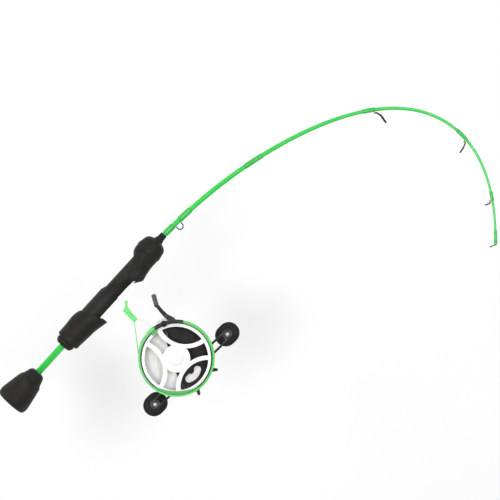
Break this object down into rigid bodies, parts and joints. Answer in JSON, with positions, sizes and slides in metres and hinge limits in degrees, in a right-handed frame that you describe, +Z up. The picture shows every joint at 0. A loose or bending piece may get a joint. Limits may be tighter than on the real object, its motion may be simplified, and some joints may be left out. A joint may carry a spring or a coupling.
{
  "type": "ice fishing rod",
  "caption": "Short ice fishing rod with a bent blank, split grip, line guides and a geared inline free-fall reel under the handle.",
  "frame": {"origin": "centre of the flat end face of the butt cap, on the handle's axis", "axes": "+X along the handle towards the tip, +Z up with the reel hanging at -Z, +Y towards the crank side"},
  "size_m": [0.4658, 0.0621, 0.2486],
  "materials": {
    "blank_green": "gloss",
    "wrap_green": "gloss",
    "soft_black": "matte",
    "seat_black": "satin",
    "check_black": "matte",
    "guide_dark": "satin",
    "guide_ceramic": "gloss",
    "white_plastic": "satin",
    "spool_white": "satin",
    "frame_green": "satin",
    "plate_black": "matte",
    "steel": "brushed",
    "bearing_steel": "polished",
    "spring_steel": "satin",
    "brass": "machined",
    "drag_fibre": "matte",
    "trigger_black": "satin",
    "pad_grey": "matte",
    "drag_black": "satin",
    "knob_black": "matte",
    "dark_steel": "blackened"
  },
  "bodies": {
    "handle": {"blank": "blank_green", "wrap_keeper_rear": "wrap_green", "wrap_keeper_front": "wrap_green", "wrap_band": "wrap_green", "wrap_guide_1": "wrap_green", "wrap_guide_2": "wrap_green", "wrap_guide_3": "wrap_green", "wrap_tip": "wrap_green", "tip_tube": "wrap_green", "butt_cap": "soft_black", "front_grip": "soft_black", "grip_nose": "soft_black", "seat_tube": "seat_black", "winding_check": "check_black", "hook_keeper": "guide_dark", "guide_frame_1": "guide_dark", "guide_frame_2": "guide_dark", "guide_frame_3": "guide_dark", "tip_frame": "guide_dark", "guide_ring_1": "guide_ceramic", "guide_ring_2": "guide_ceramic", "guide_ring_3": "guide_ceramic", "tip_ring": "guide_ceramic", "reel_foot": "white_plastic", "stem_cover_near": "white_plastic", "stem_cover_far": "white_plastic", "gear_housing": "white_plastic", "housing_cover": "white_plastic", "reel_frame": "frame_green", "back_plate": "plate_black", "foot_screw": "steel", "spool_shaft": "steel", "shaft_screw": "steel", "plate_screws": "steel", "cover_screws": "steel", "crank_bearing": "bearing_steel", "trigger_spring": "spring_steel"},
    "spool": {"spool_rim": "spool_white", "spool_web": "spool_white", "spool_bearings": "bearing_steel", "spool_cap": "spool_white"},
    "crank": {"crank_shaft": "steel", "drive_gear": "brass", "drag_washers": "drag_fibre", "pressure_plate": "steel", "arm_spacer": "steel", "crank_arm": "drag_black", "crank_nut": "steel", "knob_pins": "steel"},
    "star": {"star_drag": "drag_black", "spring_washers": "spring_steel"},
    "rear_knob": {"knob_rear": "knob_black"},
    "front_knob": {"knob_front": "knob_black"},
    "trigger": {"trigger_lever": "trigger_black", "trigger_pad": "pad_grey", "trigger_shaft": "dark_steel"},
    "yoke": {"release_yoke": "spring_steel"},
    "pinion": {"pinion": "brass"},
    "hood": {"rear_hood": "soft_black"},
    "lock_nut": {"lock_nut": "soft_black"}
  },
  "joints": [
    {"name": "crank_spin", "type": "hinge", "parent": "handle", "child": "crank", "pos_m": [0.1342, 0.03, -0.1028], "axis": [0, 1, 0], "continuous": true},
    {"name": "spool_spin", "type": "hinge", "parent": "handle", "child": "spool", "pos_m": [0.1342, 0, -0.0854], "axis": [0, 1, 0], "continuous": true},
    {"name": "trigger_pull", "type": "hinge", "parent": "handle", "child": "trigger", "pos_m": [0.15011, 0, -0.05547], "axis": [0, -1, 0], "range_deg": [0, 18], "stiffness_Nm_per_rad": 0.06, "springref_deg": -11.46},
    {"name": "yoke_slide", "type": "slide", "parent": "handle", "child": "yoke", "axis": [0, 1, 0], "range_m": [0, 0.00161]},
    {"name": "pinion_spin", "type": "hinge", "parent": "yoke", "child": "pinion", "pos_m": [0.1342, 0.012, -0.0854], "axis": [0, 1, 0], "continuous": true},
    {"name": "star_turn", "type": "hinge", "parent": "crank", "child": "star", "pos_m": [0.1342, 0.026, -0.1028], "axis": [0, 1, 0], "range_deg": [-45, 315]},
    {"name": "rear_knob_spin", "type": "hinge", "parent": "crank", "child": "rear_knob", "pos_m": [0.08738, 0.04, -0.10002], "axis": [0, 1, 0], "continuous": true},
    {"name": "front_knob_spin", "type": "hinge", "parent": "crank", "child": "front_knob", "pos_m": [0.18102, 0.04, -0.10558], "axis": [0, 1, 0], "continuous": true},
    {"name": "hood_slide", "type": "slide", "parent": "handle", "child": "hood", "axis": [-1, 0, 0], "range_m": [0, 0.01051]},
    {"name": "nut_turn", "type": "hinge", "parent": "hood", "child": "lock_nut", "pos_m": [0.0738, 0, 0], "axis": [1, 0, 0], "range_deg": [0, 1800]}
  ],
  "couplings": [
    {"joint": "spool_spin", "follows": "crank_spin", "ratio": -2.625},
    {"joint": "pinion_spin", "follows": "crank_spin", "ratio": -2.625},
    {"joint": "yoke_slide", "follows": "trigger_pull", "m_per_rad": 0.005093},
    {"joint": "hood_slide", "follows": "nut_turn", "m_per_rad": 0.00033423}
  ]
}
